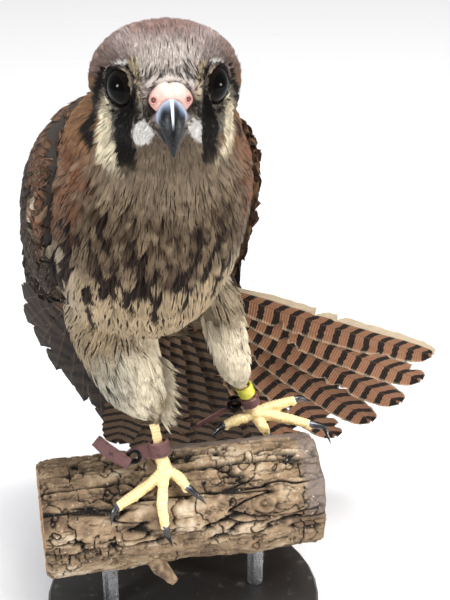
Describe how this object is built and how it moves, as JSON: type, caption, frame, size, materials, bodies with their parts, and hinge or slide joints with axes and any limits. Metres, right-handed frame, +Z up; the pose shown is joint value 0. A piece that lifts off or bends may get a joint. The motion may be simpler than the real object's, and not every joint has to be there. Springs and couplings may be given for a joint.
{
  "type": "american kestrel model",
  "caption": "Life-size model of a female American kestrel standing on a cut bark log, tail fanned to one side, leather cuffs and short straps on its legs, on a low display stand.",
  "frame": {"origin": "centre of the underside of the stand's round base, on the floor", "axes": "+Z up; the bird faces along -Y, its left side towards +X; the log runs mostly along X, its +X end a little towards +Y"},
  "size_m": [0.1557, 0.198, 0.2318],
  "materials": {
    "bark": "rough cracked bark",
    "bill_horn": "polished blue-grey horn, black at the tip",
    "breast_feather": "soft buff feathers with dark brown streaks",
    "brown_feather": "barred brown flight and covert feathers, matt",
    "cere_skin": "bare waxy skin",
    "claw_horn": "polished black horn",
    "eye_dark": "wet, very dark brown",
    "eyelet": "black enamel",
    "head_feather": "fine grey and rufous feathers with black and white face marks",
    "leather": "worn red-brown leather",
    "leg_skin": "yellow scaled skin",
    "pale_feather": "soft whitish leg feathers",
    "ring_plastic": "yellow-green plastic",
    "rufous_feather": "rufous feathers with black bars, slight sheen",
    "stand_paint": "satin black",
    "stand_steel": "satin"
  },
  "bodies": {
    "root": {"bill_lower": "bill_horn", "bill_upper": "bill_horn", "cere": "cere_skin", "claw_left_hind": "claw_horn", "claw_left_inner": "claw_horn", "claw_left_middle": "claw_horn", "claw_left_outer": "claw_horn", "claw_right_hind": "claw_horn", "claw_right_inner": "claw_horn", "claw_right_middle": "claw_horn", "claw_right_outer": "claw_horn", "cuff_left": "leather", "cuff_right": "leather", "eye_left": "eye_dark", "eye_right": "eye_dark", "eyelet_left": "eyelet", "eyelet_right": "eyelet", "foot_left": "leg_skin", "foot_right": "leg_skin", "head": "head_feather", "leg_ring_left": "ring_plastic", "neck": "breast_feather", "perch_log": "bark", "shank_left": "leg_skin", "shank_right": "leg_skin", "stand_base": "stand_paint", "stand_rod_1": "stand_steel", "stand_rod_2": "stand_steel", "strap_left": "leather", "strap_right": "leather", "tail": "rufous_feather", "thigh_left": "pale_feather", "thigh_right": "pale_feather", "torso": "breast_feather", "wing_left": "brown_feather", "wing_right": "brown_feather"}
  },
  "joints": []
}
